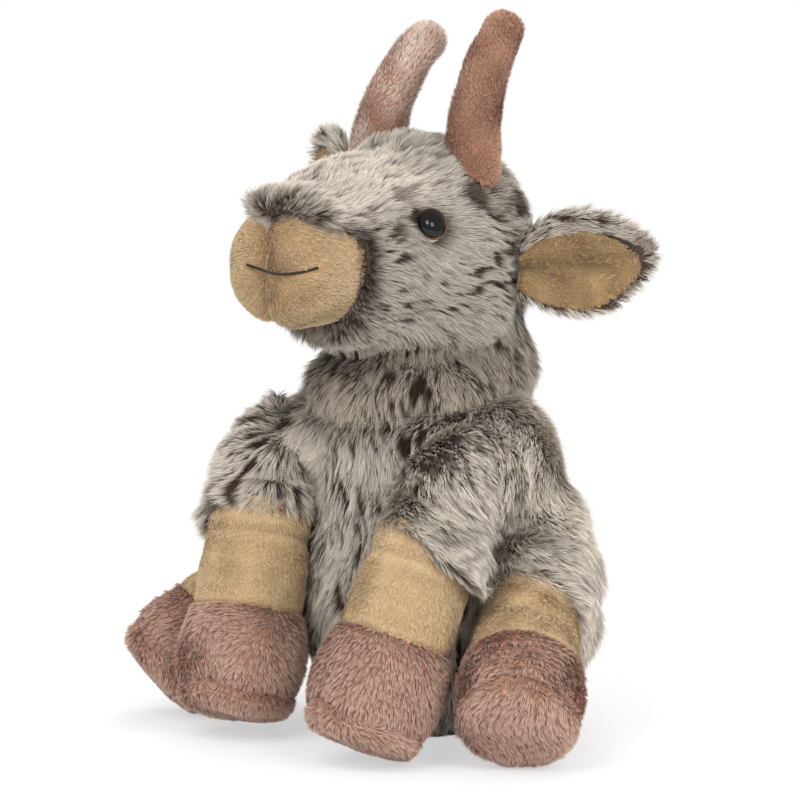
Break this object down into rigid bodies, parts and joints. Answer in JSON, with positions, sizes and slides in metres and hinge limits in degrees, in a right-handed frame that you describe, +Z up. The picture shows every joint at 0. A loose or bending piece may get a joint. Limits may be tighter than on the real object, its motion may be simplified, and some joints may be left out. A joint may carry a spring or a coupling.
{
  "type": "seated plush goat",
  "caption": "Seated stuffed goat with curved horns, side ears, tan cuffs and muzzle and brown velboa hooves; head, legs, ears and tail move at their seams.",
  "frame": {"origin": "on the flat seat at floor level, under the upright axis of the neck", "axes": "+Z up, -Y the way the goat faces, +X its own left side"},
  "size_m": [0.1768, 0.1482, 0.2227],
  "materials": {
    "frosted_fur": "long pile faux fur, cream tips over dark brown",
    "tan_velboa": "short pile velboa, brushed",
    "brown_velboa": "short pile velboa, dusty brown",
    "base_cloth": "plain short pile cloth",
    "polyester_fibre": "loose white fibre filling",
    "cotton_bag": "plain woven cotton",
    "plastic_beads": "small round filling beads",
    "eye_black": "polished black dome",
    "eye_amber": "clear ring with amber back",
    "eye_washer": "moulded lock washer",
    "brown_thread": "stitched dark brown thread"
  },
  "bodies": {
    "body": {"body_skin": "frosted_fur", "body_stuffing": "polyester_fibre", "base_panel": "base_cloth", "bead_bag": "cotton_bag", "seat_beads": "plastic_beads"},
    "neck": {"neck_skin": "frosted_fur", "neck_stuffing": "polyester_fibre"},
    "head": {"head_skin": "frosted_fur", "head_stuffing": "polyester_fibre", "left_muzzle": "tan_velboa", "right_muzzle": "tan_velboa", "muzzle_stuffing": "polyester_fibre", "mouth_thread": "brown_thread", "left_eye_pupil": "eye_black", "left_eye_iris": "eye_amber", "left_eye_washer": "eye_washer", "right_eye_pupil": "eye_black", "right_eye_iris": "eye_amber", "right_eye_washer": "eye_washer", "left_horn": "brown_velboa", "left_horn_stuffing": "polyester_fibre", "right_horn": "brown_velboa", "right_horn_stuffing": "polyester_fibre"},
    "left_front_leg": {"left_front_sleeve": "frosted_fur", "left_front_cuff": "tan_velboa", "left_front_hoof": "brown_velboa", "left_front_sole": "brown_velboa", "left_front_stuffing": "polyester_fibre"},
    "left_hind_leg": {"left_hind_sleeve": "frosted_fur", "left_hind_cuff": "tan_velboa", "left_hind_hoof": "brown_velboa", "left_hind_sole": "brown_velboa", "left_hind_stuffing": "polyester_fibre"},
    "left_ear_flap": {"left_ear": "frosted_fur", "left_ear_lining": "tan_velboa"},
    "right_front_leg": {"right_front_sleeve": "frosted_fur", "right_front_cuff": "tan_velboa", "right_front_hoof": "brown_velboa", "right_front_sole": "brown_velboa", "right_front_stuffing": "polyester_fibre"},
    "right_hind_leg": {"right_hind_sleeve": "frosted_fur", "right_hind_cuff": "tan_velboa", "right_hind_hoof": "brown_velboa", "right_hind_sole": "brown_velboa", "right_hind_stuffing": "polyester_fibre"},
    "right_ear_flap": {"right_ear": "frosted_fur", "right_ear_lining": "tan_velboa"},
    "tail": {"tail_skin": "frosted_fur", "tail_stuffing": "polyester_fibre"}
  },
  "joints": [
    {"name": "neck_turn", "type": "hinge", "parent": "body", "child": "neck", "pos_m": [0, 0, 0.1], "axis": [0, 0, 1], "range_deg": [-35, 35]},
    {"name": "head_nod", "type": "hinge", "parent": "neck", "child": "head", "pos_m": [0, 0, 0.15], "axis": [1, 0, 0], "range_deg": [-20, 10]},
    {"name": "left_shoulder_swing", "type": "hinge", "parent": "body", "child": "left_front_leg", "pos_m": [0.037, -0.025, 0.08486], "axis": [-1, 0, 0], "range_deg": [0, 60]},
    {"name": "right_shoulder_swing", "type": "hinge", "parent": "body", "child": "right_front_leg", "pos_m": [-0.037, -0.025, 0.08918], "axis": [-1, 0, 0], "range_deg": [0, 60]},
    {"name": "left_hip_splay", "type": "hinge", "parent": "body", "child": "left_hind_leg", "pos_m": [0.0455, 0.003, 0.05564], "axis": [0, 0, 1], "range_deg": [0, 35]},
    {"name": "right_hip_splay", "type": "hinge", "parent": "body", "child": "right_hind_leg", "pos_m": [-0.0455, 0.003, 0.05564], "axis": [0, 0, -1], "range_deg": [0, 35]},
    {"name": "left_ear_bend", "type": "hinge", "parent": "head", "child": "left_ear_flap", "pos_m": [0.03562, 0.00759, 0.14752], "axis": [0.0701, -0.0036, 0.9975], "range_deg": [-35, 35], "stiffness_Nm_per_rad": 0.01},
    {"name": "right_ear_bend", "type": "hinge", "parent": "head", "child": "right_ear_flap", "pos_m": [-0.03374, 0.00736, 0.16182], "axis": [-0.3203, 0.0503, -0.946], "range_deg": [-35, 35], "stiffness_Nm_per_rad": 0.01},
    {"name": "tail_bend", "type": "hinge", "parent": "body", "child": "tail", "pos_m": [0, 0.061, 0.028], "axis": [1, 0, 0], "range_deg": [-60, 5], "stiffness_Nm_per_rad": 0.01}
  ]
}
